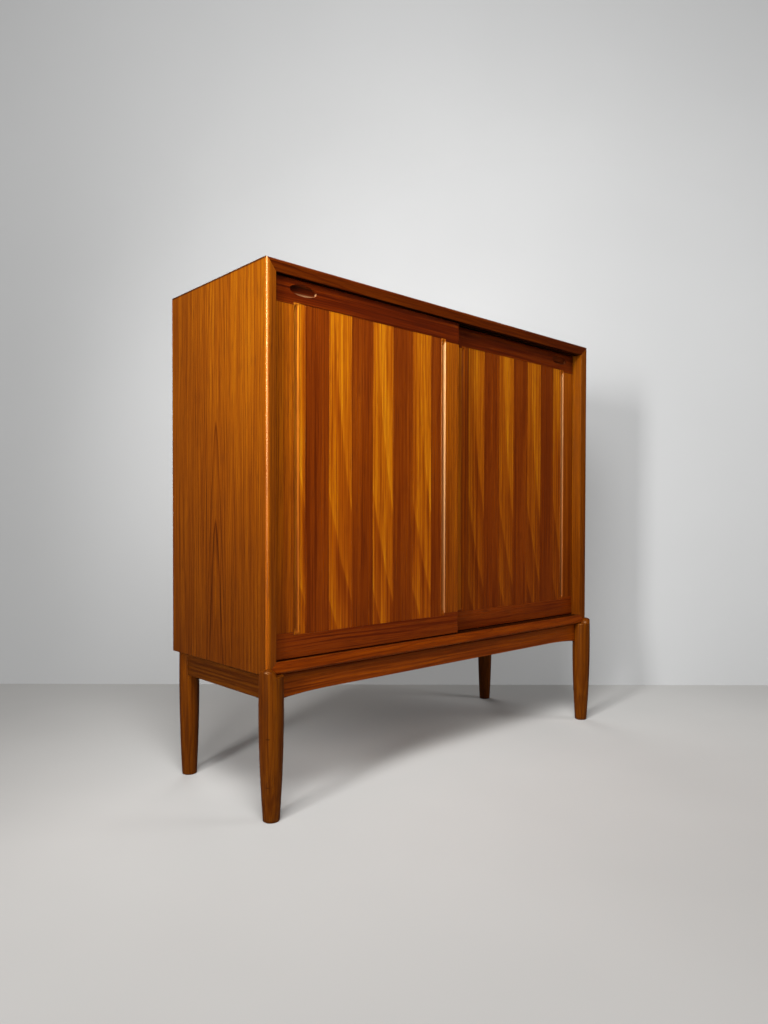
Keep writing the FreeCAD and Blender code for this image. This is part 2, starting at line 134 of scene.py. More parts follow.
# Flame of the light staves: tongues that bend aside towards the foot, each brightest near its left edge.
# A tongue's stops are a share of its width and how light it is there. It has its full strength from the
# share of the stave's height that is given, counted from the top.
flame_bend = 0.12
flame_start = 0.017
flame_width = 0.057
flame_wobble = 0.02
flame_waves = (16, 16, 3.5)
flame_tongue = ((0.0, 0.30), (0.05, 1.0), (0.30, 0.70), (0.60, 0.45), (0.88, 0.12), (1.0, 0.30))
flame_full_share = 0.6
flame_at_top = 0.5

# Coves of the stiles, and how near their edges a vertex still counts as outside
cove_width = 0.0149
cove_depth = 0.0068
cove_steep_share = 0.36
cove_run_out = 1.4
cove_edge_width = 0.0015
cove_end_slope = 0.014
cove_edge_share = 0.01
cove_least_depth = 0.00005
cove_depth_margin = 0.0005

# Finger recess of the top rails
recess_half_height = 0.0125
recess_half_length = 0.0370
recess_from_end = 0.076
door_face_clearance = 0.0005

# Carcase: its lowest front left corner, the solid lipping on its front edges, the tracks behind it, and how
# deep a place may lie and still be on an outer face
carcase_low = Vector((
    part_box("left_side_panel")[0].x,
    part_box("bottom_panel")[0].y,
    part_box("bottom_panel")[0].z,
))
carcase_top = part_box("top_panel")[1].z
lipping_depth = 0.0066
tracks_depth = 0.060
lipping_back = carcase_low.y + lipping_depth
tracks_back = carcase_low.y + tracks_depth
outer_face_depth = 0.001

# Painted shade in the tracks fades out over the first depth. Along the sides' upper mitre the wood is
# darkened from the second and has its full share from the third.
track_shade_fade = 0.01
mitre_dark_edge = 0.0050
mitre_dark_full = 0.0025
mitre_dark_share = 0.85

# Front corners and coves are painted with highlights from the first height up, and most at the other two
highlight_from = 0.45
corner_full_highlight = 1.00
cove_full_highlight = 1.05

# Camera, as the photograph was taken
photo_height = 1024
focal_pixels = 736.933
optical_centre_y = 530.887
sensor_size = 36.0
camera_place = Vector((-1.4543, -1.48115, 0.63455))
camera_yaw = math.radians(42.68)
camera_pitch = math.radians(-0.973)
camera_roll = math.radians(0.114)

# Stage: a floor, and a wall square to the camera
floor_reach = 9.0
wall_distance = 0.73
wall_half_width = 6.0
wall_height = 5.0
floor_colour = (0.64, 0.63, 0.61)
wall_colour = (0.40, 0.403, 0.403)
wall_glow = 0.47
paint_roughness = 0.75
paint_specular = 0.2
paint_waves = (1.3, 1.3, 1.3)
paint_wave_limits = (0.3, 0.7)
palest_share = 1.0
dullest_share = 0.94

# Light: beams that open all round, a narrower one, and the room's own
open_beam = 180
narrow_beam = 60
room_colour = (0.95, 0.97, 1.0, 1.0)
room_strength = 0.04

# Kinds of socket that node groups have
number_socket = "NodeSocketFloat"
vector_socket = "NodeSocketVector"
geometry_socket = "NodeSocketGeometry"
material_socket = "NodeSocketMaterial"


class Wiring:
    """Adds nodes to one tree. What a socket is given is either another socket or a constant."""

    def __init__(self, tree):
        self.tree = tree

    def fill(self, node, inputs):
        for key, value in inputs.items():
            if isinstance(value, bpy.types.NodeSocket):
                self.tree.links.new(value, node.inputs[key])
            else:
                node.inputs[key].default_value = value

    def node(self, kind, inputs=None, **settings):
        node = self.tree.nodes.new(kind)
        for name, value in settings.items():
            setattr(node, name, value)
        self.fill(node, inputs or {})
        return node

    def math(self, operation, *values):
        return self.node("ShaderNodeMath", dict(enumerate(values)), operation=operation).outputs[0]

    def vector_math(self, operation, *values):
        return self.node("ShaderNodeVectorMath", dict(enumerate(values)), operation=operation).outputs[0]

    def apart(self, first, second):
        return self.math("ABSOLUTE", self.math("SUBTRACT", first, second))

    def vector_value(self, operation, *vectors):
        node = self.node("ShaderNodeVectorMath", dict(enumerate(vectors)), operation=operation)
        return node.outputs["Value"]

    def scaled(self, value, factor, start):
        """Start, with the value times the factor added to it."""
        return self.math("MULTIPLY_ADD", value, factor, start)

    def product(self, first, *others):
        for other in others:
            first = self.math("MULTIPLY", first, other)
        return first

    def parts(self, vector):
        return self.node("ShaderNodeSeparateXYZ", {0: vector}).outputs

    def facing(self):
        """X, Y and Z of the way that the surface faces."""
        return self.parts(self.node("ShaderNodeNewGeometry").outputs["Normal"])

    def vector(self, x, y, z):
        return self.node("ShaderNodeCombineXYZ", {0: x, 1: y, 2: z}).outputs[0]

    def noise(self, vector, stretch, detail, roughness=0.5):
        """Noise from 0 to 1, with this many features to the metre along each axis."""
        inputs = {
            "Vector": self.vector_math("MULTIPLY", vector, stretch),
            "Scale": 1.0,
            "Detail": detail,
            "Roughness": roughness,
        }
        return self.node("ShaderNodeTexNoise", inputs).outputs[0]

    def random(self, value):
        return self.node("ShaderNodeTexWhiteNoise", {"W": value}, noise_dimensions="1D").outputs["Value"]

    def spread(self, value, low, high, new_low=0.0, new_high=1.0):
        """Value from low to high, moved to run from new_low to new_high and held there."""
        inputs = {"Value": value, "From Min": low, "From Max": high, "To Min": new_low, "To Max": new_high}
        return self.node("ShaderNodeMapRange", inputs).outputs[0]

    def ramp(self, value, stops):
        """Colour picked along a row of stops, each a place and a colour."""
        node = self.node("ShaderNodeValToRGB", {"Fac": value})
        elements = node.color_ramp.elements
        while len(elements) < len(stops):
            elements.new(1.0)
        for element, (place, colour) in zip(elements, stops):
            element.position = place
            element.color = (*colour, 1.0)
        return node.outputs["Color"]

    def levels(self, value, stops):
        """Number picked along a row of stops, each a place and a level."""
        return self.ramp(value, [(place, (level, level, level)) for place, level in stops])

    def mix(self, factor, first, second):
        return self.node("ShaderNodeMix", {0: factor, 6: first, 7: second}, data_type="RGBA").outputs[2]

    def group(self, tree, inputs):
        return self.node("ShaderNodeGroup", inputs, node_tree=tree).outputs


def new_group(name, kind, inputs, outputs):
    """Node group with named sockets; returns it with its wiring and what it is given."""
    group = bpy.data.node_groups.new(name, kind)
    for direction, sockets in (("INPUT", inputs), ("OUTPUT", outputs)):
        for socket_name, socket_type in sockets.items():
            group.interface.new_socket(name=socket_name, in_out=direction, socket_type=socket_type)
    wiring = Wiring(group)
    given = wiring.node("NodeGroupInput").outputs
    return group, wiring, given


# Teak's figure: features to the metre across, through and along the grain
slow_sway = (7, 7, 1.6)
quick_sway = (45, 45, 5)
broad_fibres = (62, 62, 1.0)
narrow_fibres = (200, 200, 1.8)
fine_fibres = (400, 400, 6)
pore_dashes = (640, 640, 20)
colour_drift = (6, 6, 1.1)

# How far the quick sway moves the grain, and how much of the streaks each kind of fibre makes
quick_sway_reach = 0.004
broad_share = 0.14
narrow_share = 0.48
fine_share = 0.38
fibre_roughness = 0.6

# Limits of noise between which streaks, pores and tone go from none to full
streak_limits = (0.40, 0.60)
pore_limits = (0.54, 0.68)
tone_limits = (0.30, 0.70)

# Growth rings: how dark the line is by its share of the ring, how much of it the weakest ring keeps, and
# the power by which strong rings are rarer than weak ones
ring_line = ((0.0, 0.0), (0.50, 0.06), (0.82, 0.45), (0.92, 1.0), (1.0, 0.0))
weakest_ring = 0.2
strong_ring_power = 1.3

# How far one seed moves a board through the noise
seed_steps = (3.17, 1.73, 5.31)

# What the group is told of a board's figure
grain_inputs = ("seed", "ring_width", "arch_length", "crowding", "heart_depth", "wander")


def teak_grain_group():
    """Figure of a teak board whose grain runs along Z of its own frame, with the heart at X = 0.

    Rings are the dark lines of the growth rings, which close into arches where the heart is near
    and crowd together away from it. Streaks are the long fine fibres, Pores the short dark dashes
    and Tone the slow drift of colour.
    """
    inputs = {"board": vector_socket, **dict.fromkeys(grain_inputs, number_socket)}
    outputs = dict.fromkeys(("Rings", "Streaks", "Pores", "Tone"), number_socket)
    group, wire, given = new_group("teak_grain", "ShaderNodeTree", inputs, outputs)
    seed_shift = wire.vector(*(wire.product(given["seed"], step) for step in seed_steps))
    shifted = wire.vector_math("ADD", given["board"], seed_shift)
    board = wire.parts(given["board"])
    slow = wire.math("SUBTRACT", wire.noise(shifted, slow_sway, 2), 0.5)
    quick = wire.math("SUBTRACT", wire.noise(shifted, quick_sway, 2), 0.5)
    sway = wire.product(slow, given["wander"])
    sway = wire.scaled(quick, quick_sway_reach, sway)
    across = wire.math("ADD", board["X"], sway)
    depth_squared = wire.product(given["heart_depth"], given["heart_depth"])
    from_heart = wire.math("SQRT", wire.scaled(across, across, depth_squared))
    ring_place = wire.math(
        "ADD",
        wire.math("POWER", wire.math("DIVIDE", from_heart, given["ring_width"]), given["crowding"]),
        wire.math("DIVIDE", board["Z"], given["arch_length"]),
    )
    line = wire.levels(wire.math("FRACT", ring_place), ring_line)
    strength = wire.math("POWER", wire.random(wire.math("FLOOR", ring_place)), strong_ring_power)
    strength = wire.scaled(strength, 1 - weakest_ring, weakest_ring)

    swayed = wire.vector_math("ADD", shifted, wire.vector(sway, 0.0, 0.0))
    broad = wire.noise(swayed, broad_fibres, 2, fibre_roughness)
    narrow = wire.noise(swayed, narrow_fibres, 1, fibre_roughness)
    fine = wire.noise(swayed, fine_fibres, 1, fibre_roughness)
    streaks = wire.scaled(narrow, narrow_share, wire.product(broad, broad_share))
    streaks = wire.scaled(fine, fine_share, streaks)
    wire.node("NodeGroupOutput", {
        "Rings": wire.product(line, strength),
        "Streaks": wire.spread(streaks, *streak_limits),
        "Pores": wire.spread(wire.noise(swayed, pore_dashes, 1), *pore_limits),
        "Tone": wire.spread(wire.noise(shifted, colour_drift, 2), *tone_limits),
    })
    return group


# Worn edges: how far a rounded normal leans from the flat one, from none to all of the edge, and the patches
# of edge that are worn and painted pale, in features to the metre and with the limits of noise between which
# they fade
edge_lean = (0.99, 0.80)
edge_patches = (28, 28, 28)
patch_limits = (0.35, 0.65)
edge_samples = 4


def worn_edge_group():
    """Edges of a piece: their rounded normal, and a mask of them in patches, for wear and painted highlight.
    """
    inputs = {"Radius": number_socket, "Place": vector_socket}
    outputs = {"Edge": number_socket, "Normal": vector_socket}
    group, wire, given = new_group("worn_edge", "ShaderNodeTree", inputs, outputs)
    rounded = wire.node("ShaderNodeBevel", {"Radius": given["Radius"]}, samples=edge_samples).outputs[0]
    flat = wire.node("ShaderNodeNewGeometry").outputs["True Normal"]
    edge = wire.spread(wire.vector_value("DOT_PRODUCT", rounded, flat), *edge_lean)
    wear_and_highlight = wire.spread(wire.noise(given["Place"], edge_patches, 3), *patch_limits)
    wire.node("NodeGroupOutput", {"Edge": wire.product(edge, wear_and_highlight), "Normal": rounded})
    return group


teak_grain = teak_grain_group()
worn_edge = worn_edge_group()


def new_material(name):
    """Material with one Principled shader; returns it with its wiring, shader and object coordinates."""
    material = bpy.data.materials.new(name)
    material.use_nodes = True
    material.node_tree.nodes.clear()
    wire = Wiring(material.node_tree)
    shader = wire.node("ShaderNodeBsdfPrincipled")
    wire.node("ShaderNodeOutputMaterial", {"Surface": shader.outputs["BSDF"]})
    place = wire.node("ShaderNodeTexCoord").outputs["Object"]
    return material, wire, shader, place


def board_frame(wire, place, across, depth, along, heart):
    """Object coordinates turned so that the grain runs along Z, with the heart line at X = 0."""
    axes = wire.parts(place)
    turned = wire.vector(axes[across], axes[depth], axes[along])
    return wire.vector_math("SUBTRACT", turned, (heart, 0.0, 0.0))


# Oil on teak: how strongly it shines, the warm tint that it gives a reflection, and its roughness, with what
# streaks, edges and painted highlights take off it and pores add to it
oil_specular = 0.35
oil_tint = (1.0, 0.60, 0.28, 1.0)
oil_roughness = 0.34
streak_gloss = 0.07
edge_gloss = 0.06
highlight_gloss = 0.12
pore_roughness = 0.12

# How far edges go to the warm colour, partly as wear and partly as painted highlight, how far painted
# highlights go pale, and the relief of the grain
edge_wear_and_highlight = 0.25
highlight_paleness = 0.4
streak_relief = 0.5
relief_strength = 0.25
relief_depth = 0.0003


def teak_colour(wire, grain, shade, colours, pore_share):
    """Colour along a row from the darkest line to the lightest streak, with dark pores in it."""
    dark, brown, warm, light = colours
    colour = wire.ramp(shade, [(0.0, dark), (0.33, brown), (0.66, warm), (1.0, light)])
    return wire.mix(wire.product(grain["Pores"], pore_share), colour, (*dark, 1.0))


def finish_teak(
    wire, shader, place, board, look, other=None, dark_mark_and_shade=None, wear_and_highlight=None, flame=None, dull=None,
):
    """Colour, gloss and relief of oiled teak on one board frame.

    Other is a mask and the colours that the piece has there. The dark mask says where it is darkened, for
    knots and marks and as painted shade, and the highlight mask where it is painted pale and glossier as a
    painted highlight. Flame is lightness that is added in broad tongues, and dull roughness that is added
    where the oil has gone matt.
    """
    grain = wire.group(teak_grain, {"board": board, **{name: look[name] for name in grain_inputs}})
    edges = wire.group(worn_edge, {"Radius": look["arris"], "Place": place})
    shade = wire.scaled(grain["Streaks"], look["streak_share"], look["ground"])
    shade = wire.scaled(grain["Tone"], look["tone_share"], shade)
    shade = wire.scaled(grain["Rings"], -look["ring_share"], shade)
    # Painted shade: darker towards the floor, or lighter there for a negative value
    if look["fall"]:
        height = wire.parts(place)["Z"]
        shade = wire.math("ADD", shade, wire.spread(height, carcase_low.z, carcase_top, -look["fall"], 0.0))
    if flame:
        shade = wire.math("ADD", shade, flame)
    colour = teak_colour(wire, grain, shade, look["colours"], look["pore_share"])
    if other:
        mask, colours = other
        colour = wire.mix(mask, colour, teak_colour(wire, grain, shade, colours, look["pore_share"]))
    dark, _, warm, _ = look["colours"]
    # Edges go towards the warm colour, partly as wear and partly as a painted highlight
    colour = wire.mix(wire.product(edges["Edge"], edge_wear_and_highlight), colour, (*warm, 1.0))
    # Dark marks: knots, the sides' upper mitre, and painted shade in the tracks and the finger recess
    if dark_mark_and_shade:
        colour = wire.mix(dark_mark_and_shade, colour, wire.mix(grain["Streaks"], dark_mark_and_shade_colour, (*dark, 1.0)))
    rough = wire.scaled(grain["Streaks"], -streak_gloss, oil_roughness)
    rough = wire.scaled(grain["Pores"], pore_roughness, rough)
    rough = wire.scaled(edges["Edge"], -edge_gloss, rough)
    # Painted highlight: front corners, coves and the recess's rim go pale and glossier
    if wear_and_highlight:
        colour = wire.mix(wire.product(wear_and_highlight, highlight_paleness), colour, highlight_colour)
        rough = wire.scaled(wear_and_highlight, -highlight_gloss, rough)
    if dull:
        rough = wire.math("ADD", rough, dull)
    relief = wire.math("SUBTRACT", wire.product(grain["Streaks"], streak_relief), grain["Pores"])
    bump = wire.node("ShaderNodeBump", {
        "Height": relief,
        "Strength": relief_strength,
        "Distance": relief_depth,
        "Normal": edges["Normal"],
    })
    wire.fill(shader, {
        "Base Color": colour,
        "Roughness": rough,
        "Normal": bump.outputs[0],
        "Specular IOR Level": oil_specular,
        "Specular Tint": oil_tint,
    })


# Colours of each kind of wood, from its darkest line to its lightest streak, of dark marks and painted
# shade, and of painted highlights
side_colours = (
    (0.045, 0.0075, 0.0003), (0.115, 0.023, 0.0005), (0.18, 0.043, 0.0008), (0.26, 0.078, 0.0014),
)
strip_colours = (
    (0.09, 0.015, 0.0007), (0.19, 0.038, 0.0013), (0.27, 0.063, 0.0019), (0.35, 0.090, 0.0029),
)
# The right side's lipping in darker colours than the left's, as painted shade
right_strip_shaded_colours = (
    (0.05, 0.008, 0.0004), (0.10, 0.020, 0.0008), (0.15, 0.034, 0.0011), (0.20, 0.052, 0.0018),
)
top_lipping = (
    (0.026, 0.0026, 0.0002), (0.058, 0.0065, 0.0003), (0.090, 0.0120, 0.0005), (0.13, 0.022, 0.0010),
)
bottom_lipping = (
    (0.054, 0.0060, 0.0004), (0.12, 0.0165, 0.0007), (0.19, 0.0300, 0.0011), (0.26, 0.050, 0.0018),
)
rail_colours = (
    (0.030, 0.0024, 0.0003), (0.070, 0.0066, 0.0005), (0.11, 0.0125, 0.0008), (0.18, 0.028, 0.0015),
)
stile_colours = (
    (0.09, 0.013, 0.0007), (0.20, 0.038, 0.0012), (0.29, 0.067, 0.0017), (0.42, 0.120, 0.0028),
)
light_colours = (
    (0.15, 0.021, 0.0006), (0.29, 0.057, 0.0012), (0.44, 0.122, 0.0020), (0.64, 0.25, 0.006),
)
cove_colours = (
    (0.115, 0.019, 0.0006), (0.23, 0.050, 0.0012), (0.35, 0.095, 0.0018), (0.52, 0.180, 0.0045),
)
dark_colours = (
    (0.060, 0.0064, 0.0004), (0.135, 0.019, 0.0008), (0.20, 0.034, 0.0012), (0.28, 0.058, 0.002),
)
apron_colours = (
    (0.080, 0.0110, 0.0005), (0.18, 0.028, 0.0009), (0.255, 0.046, 0.0013), (0.33, 0.070, 0.0018),
)
# The side aprons' colours are the aprons' made darker, as painted shade under the overhanging sides
side_apron_shaded_colours = (
    (0.030, 0.0048, 0.0003), (0.065, 0.0125, 0.0005), (0.095, 0.0210, 0.0008), (0.13, 0.034, 0.0012),
)
leg_colours = (
    (0.042, 0.0072, 0.0003), (0.095, 0.019, 0.0006), (0.135, 0.031, 0.0010), (0.19, 0.050, 0.0020),
)
dark_mark_and_shade_colour = (0.012, 0.003, 0.0010, 1.0)
highlight_colour = (0.72, 0.40, 0.17, 1.0)
inner_colours = (
    (0.22, 0.060, 0.010), (0.38, 0.130, 0.022), (0.50, 0.195, 0.040), (0.60, 0.27, 0.070),
)
ply_colours = (
    (0.20, 0.080, 0.022), (0.34, 0.155, 0.050), (0.43, 0.215, 0.080), (0.52, 0.29, 0.12),
)
beech_colours = (
    (0.33, 0.165, 0.075), (0.48, 0.265, 0.13), (0.56, 0.33, 0.17), (0.63, 0.40, 0.23),
)

# Figure of straight-grained wood, and of veneer whose rings close into arches. Shares say how much streaks,
# tone, rings and pores change the colour, ground how light it is, and the last value how much painted shade
# darkens it towards the floor.
plain_figure = {
    "ring_width": 0.006,
    "arch_length": 1.3,
    "crowding": 1.0,
    "heart_depth": 0.002,
    "wander": 0.012,
    "streak_share": 0.62,
    "tone_share": 0.30,
    "ring_share": 0.22,
    "ground": 0.10,
    "pore_share": 0.45,
    "fall": 0.0,
    "arris": 0.0012,
}
arched_figure = dict(
    plain_figure,
    ring_width=0.024,
    arch_length=0.220,
    crowding=1.7,
    heart_depth=0.006,
    wander=0.020,
    ring_share=0.55,
    ground=0.32,
    streak_share=0.44,
)

# A heart this far from a piece leaves its grain straight
far_heart = 2.0

# Worn edges of the legs are this broad
leg_wear_radius = 0.0025


def teak_board(name, axes, heart, colours, figure, seed, **changes):
    """Teak of a plain board; axes are the object's axes across, through and along it."""
    material, wire, shader, place = new_material(name)
    board = board_frame(wire, place, *axes, heart)
    finish_teak(wire, shader, place, board, dict(figure, colours=colours, seed=seed, **changes))
    return material


# Rounded front corners, by how far they face aside times how far they face forward: 0.5 is halfway round
round_corner_limits = (0.40, 0.495)
# How strongly the rounded corner is painted pale, as a painted highlight
corner_highlight_strength = 0.9

# How much darker the sides are painted towards the foot, as painted shade
side_fall = 0.2


def lipped_board(name, axes, heart, front_colours, seed, tracked):
    """Veneered board of the carcase with a solid lipping on its front edge.

    The rounded corner is painted pale as a painted highlight. The tracks of a tracked board are painted dark
    as painted shade; any other board is darkened along its upper mitre and painted darker towards the foot.
    """
    material, wire, shader, place = new_material(name)
    board = board_frame(wire, place, *axes, heart)
    height = wire.parts(place)["Z"]
    from_front = wire.parts(place)["Y"]
    lipping = wire.math("LESS_THAN", from_front, lipping_back)
    facing = wire.facing()
    round_corner = wire.math("ABSOLUTE", wire.product(facing["X"], facing["Y"]))
    high_up = wire.spread(height, highlight_from, corner_full_highlight, 0.0, corner_highlight_strength)
    wear_and_highlight = wire.product(wire.spread(round_corner, *round_corner_limits), high_up)
    if tracked:
        middle = (carcase_low.z + carcase_top) / 2
        half_height = (carcase_top - carcase_low.z) / 2
        from_middle = wire.apart(height, middle)
        inside = wire.math("LESS_THAN", from_middle, half_height - outer_face_depth)
        near_front = wire.spread(from_front, tracks_back, tracks_back - track_shade_fade)
        # Painted shade in the tracks behind the lipping
        dark_mark_and_shade = wire.product(inside, near_front, wire.math("SUBTRACT", 1.0, lipping))
        fall = 0.0
    else:
        # The sides are darkened along their upper mitre
        mitre_limits = (carcase_top - mitre_dark_edge, carcase_top - mitre_dark_full)
        dark_mark_and_shade = wire.spread(height, *mitre_limits, 0.0, mitre_dark_share)
        fall = side_fall
    look = dict(arched_figure, colours=side_colours, seed=seed, fall=fall)
    finish_teak(wire, shader, place, board, look, other=(lipping, front_colours), dark_mark_and_shade=dark_mark_and_shade, wear_and_highlight=wear_and_highlight)
    return material


# Stiles: how light each is, how far a cove faces aside where its painted highlight lies, and how much of the
# highlight is left low down
stile_ground = {"left": 0.44, "right": 0.30}
steep_limits = (-0.30, -0.75)
low_highlight_share = 0.25


def coved_stile(door, side, colours, seed, highlight_strength=0.0, matt=0.0):
    """Teak of a stile whose cove, next to the staves, has a colour of its own.

    The highlight strength is how strongly the cove's wall at the lip is painted pale as a painted highlight,
    matt the roughness added to the whole cove.
    """
    material, wire, shader, place = new_material(door + "_" + side + "_stile_teak")
    low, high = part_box(door + "_" + side + "_stile")
    across = wire.parts(place)["X"]
    if side == "left":
        cove = wire.math("GREATER_THAN", across, high.x - cove_width)
    else:
        cove = wire.math("LESS_THAN", across, low.x + cove_width)
    wear_and_highlight = None
    # Painted highlight on the cove's steep wall at the lip
    if highlight_strength:
        steep = wire.spread(wire.facing()["X"], *steep_limits)
        height = wire.parts(place)["Z"]
        high_up = wire.spread(height, highlight_from, cove_full_highlight, highlight_strength * low_highlight_share, highlight_strength)
        past_edge = wire.math("GREATER_THAN", across, low.x + cove_edge_width)
        wear_and_highlight = wire.product(cove, past_edge, steep, high_up)
    board = board_frame(wire, place, *"XYZ", far_heart)
    look = dict(plain_figure, colours=stile_colours, seed=seed, streak_share=0.50)
    look.update(ground=stile_ground[side], fall=0.46)
    dull = wire.product(cove, matt) if matt else None
    finish_teak(wire, shader, place, board, look, other=(cove, colours), wear_and_highlight=wear_and_highlight, dull=dull)
    return material


# Rails: how far from their heart they are cut, how far up and aside the recess's lit rim faces, and how dark
# the recess is painted as painted shade
rail_heart = 0.2
rim_limits = (0.35, 0.80)
recess_shade = 0.3


def recessed_rail(door, seed, highlight_strength):
    """Teak of a door's rails, with painted shade in the recess and a painted highlight on its lit rim."""
    material, wire, shader, place = new_material(door + "_rail_teak")
    low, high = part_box(door + "_top_rail")
    axes = wire.parts(place)
    middle_x = low.x + recess_from_end if door == "left_door" else high.x - recess_from_end
    aside = wire.apart(axes["X"], middle_x)
    from_middle = wire.apart(axes["Z"], (low.z + high.z) / 2)
    sunk = wire.math("GREATER_THAN", axes["Y"], low.y + door_face_clearance)
    within_height = wire.math("LESS_THAN", from_middle, recess_half_height)
    within_length = wire.math("LESS_THAN", aside, recess_half_length)
    hollow = wire.product(sunk, within_height, within_length)
    facing = wire.facing()
    # Painted highlight on the recess's lit rim, and painted shade in the recess
    lit_rim = wire.spread(wire.math("SUBTRACT", facing["Z"], facing["X"]), *rim_limits, 0.0, highlight_strength)
    wear_and_highlight = wire.product(hollow, lit_rim)
    dark_mark_and_shade = wire.product(hollow, recess_shade)
    board = board_frame(wire, place, *"ZYX", rail_heart)
    # Painted shade: the top rail is painted darker than the bottom one, as under the top board
    look = dict(plain_figure, colours=rail_colours, seed=seed, streak_share=0.70, ground=0.08, fall=-0.35)
    finish_teak(wire, shader, place, board, look, dark_mark_and_shade=dark_mark_and_shade, wear_and_highlight=wear_and_highlight)
    return material


def knotted_leg(name, seed):
    """Teak of the turned legs, with the two small knots of the front left one."""
    material, wire, shader, place = new_material(name)
    knots = 0.0
    for knot in leg_knots:
        from_knot = wire.vector_math("SUBTRACT", place, knot)
        from_knot = wire.vector_math("MULTIPLY", from_knot, (1.0, 1.0, knot_flatness))
        distance = wire.vector_value("LENGTH", from_knot)
        knots = wire.math("ADD", wire.spread(distance, knot_edge, knot_middle, 0.0, knot_darkness), knots)
    board = board_frame(wire, place, *"XYZ", far_heart)
    look = dict(plain_figure, colours=leg_colours, seed=seed, arris=leg_wear_radius)
    finish_teak(wire, shader, place, board, look, dark_mark_and_shade=knots)
    return material


def stave_teak(name, colours, seed, drift, flame_share, right_door_shade=None, **changes):
    """Teak of upright staves cut one after another from the same plank, so that each repeats its neighbour.

    Drift is how far each stave moves along the plank by chance, and flame share how strong the flame is.
    The right door's shade is how far those of the right door are painted in the dark staves' colours,
    at foot and top, as painted shade.
    """
    material, wire, shader, place = new_material(name)
    axes = wire.parts(place)
    on_right_door = wire.math("GREATER_THAN", axes["X"], 0.0)
    between_edges = right_stave_edge - left_stave_edge
    first_edge = wire.scaled(on_right_door, between_edges, left_stave_edge)
    from_edge = wire.math("SUBTRACT", axes["X"], first_edge)
    number = wire.math("FLOOR", wire.math("DIVIDE", from_edge, stave_width))
    within = wire.scaled(number, -stave_width, from_edge)
    chance = wire.random(wire.scaled(on_right_door, right_door_draws, number))
    from_heart = wire.math("ADD", within, stave_from_heart)
    board = wire.vector(
        wire.scaled(chance, drift * stave_width, from_heart),
        wire.scaled(chance, drift, axes["Y"]),
        wire.scaled(chance, drift, axes["Z"]),
    )
    flame = None
    if flame_share:
        wobble = wire.math("SUBTRACT", wire.noise(board, flame_waves, 2), 0.5)
        down = wire.spread(axes["Z"], stave_top, stave_foot)
        bent = wire.scaled(wire.product(down, down), -flame_bend, within)
        bent = wire.scaled(wobble, flame_wobble, bent)
        from_flame = wire.math("DIVIDE", wire.math("SUBTRACT", bent, flame_start), flame_width)
        tongue = wire.levels(wire.math("FRACT", from_flame), flame_tongue)
        flame = wire.scaled(tongue, 2 * flame_share, -flame_share)
        flame = wire.product(flame, wire.spread(down, 0.0, flame_full_share, flame_at_top, 1.0))
    other = None
    # Painted shade: the right door's staves go towards the dark staves' colours
    if right_door_shade:
        foot_share, top_share = right_door_shade
        right_door_shading = wire.spread(axes["Z"], stave_foot, stave_top, foot_share, top_share)
        other = (wire.product(on_right_door, right_door_shading), dark_colours)
    look = dict(plain_figure, colours=colours, seed=seed, **changes)
    finish_teak(wire, shader, place, board, look, other=other, flame=flame)
    return material


# Dull patches of metal and scuffs of nylon, in features to the metre, and the roughness that they add
metal_patches = (900, 900, 900)
metal_dullness = 0.2
nylon_scuffs = (60, 900, 900)
scuff_limits = (0.4, 0.7)
scuff_dullness = 0.25
nylon_roughness = 0.4
nylon_colour = (0.72, 0.70, 0.63, 1.0)
scuffed_colour = (0.50, 0.47, 0.40, 1.0)


def metal(name, colour, worn_colour, rough):
    """Plain metal, dulled in patches."""
    material, wire, shader, place = new_material(name)
    dull = wire.spread(wire.noise(place, metal_patches, 3), *patch_limits)
    wire.fill(shader, {
        "Base Color": wire.mix(dull, (*colour, 1.0), (*worn_colour, 1.0)),
        "Roughness": wire.scaled(dull, metal_dullness, rough),
        "Metallic": 1.0,
    })
    return material


def nylon():
    """Off-white glide, scuffed along its travel."""
    material, wire, shader, place = new_material("glide_nylon")
    scuffs = wire.spread(wire.noise(place, nylon_scuffs, 3), *scuff_limits)
    wire.fill(shader, {
        "Base Color": wire.mix(scuffs, nylon_colour, scuffed_colour),
        "Roughness": wire.scaled(scuffs, scuff_dullness, nylon_roughness),
    })
    return material


# Finishes. Letters are a piece's axes across, through and along the grain, heart the place of its heart.
left_side_veneer = lipped_board(
    "left_side_veneer", "YXZ", heart=0.008, front_colours=strip_colours, seed=1.0, tracked=False,
)
right_side_veneer = lipped_board(
    "right_side_veneer", "YXZ", heart=0.02, front_colours=right_strip_shaded_colours, seed=1.5, tracked=False,
)
top_veneer = lipped_board(
    "top_veneer", "YZX", heart=0.03, front_colours=top_lipping, seed=2.0, tracked=True,
)
bottom_veneer = lipped_board(
    "bottom_veneer", "YZX", heart=0.05, front_colours=bottom_lipping, seed=2.5, tracked=True,
)
rail_teak = {
    "left_door": recessed_rail("left_door", seed=3.0, highlight_strength=0.9),
    "right_door": recessed_rail("right_door", seed=3.0, highlight_strength=0.15),
}
stile_teak = {
    "left_door_left_stile": coved_stile("left_door", "left", cove_colours, seed=4.0, matt=0.5),
    "left_door_right_stile": coved_stile("left_door", "right", stile_colours, seed=4.0, highlight_strength=2.0),
    # The right door's left cove is in the dark staves' colours, as painted shadow of the left door's edge
    "right_door_left_stile": coved_stile("right_door", "left", dark_colours, seed=4.0),
    "right_door_right_stile": coved_stile("right_door", "right", stile_colours, seed=4.0, highlight_strength=0.8),
}
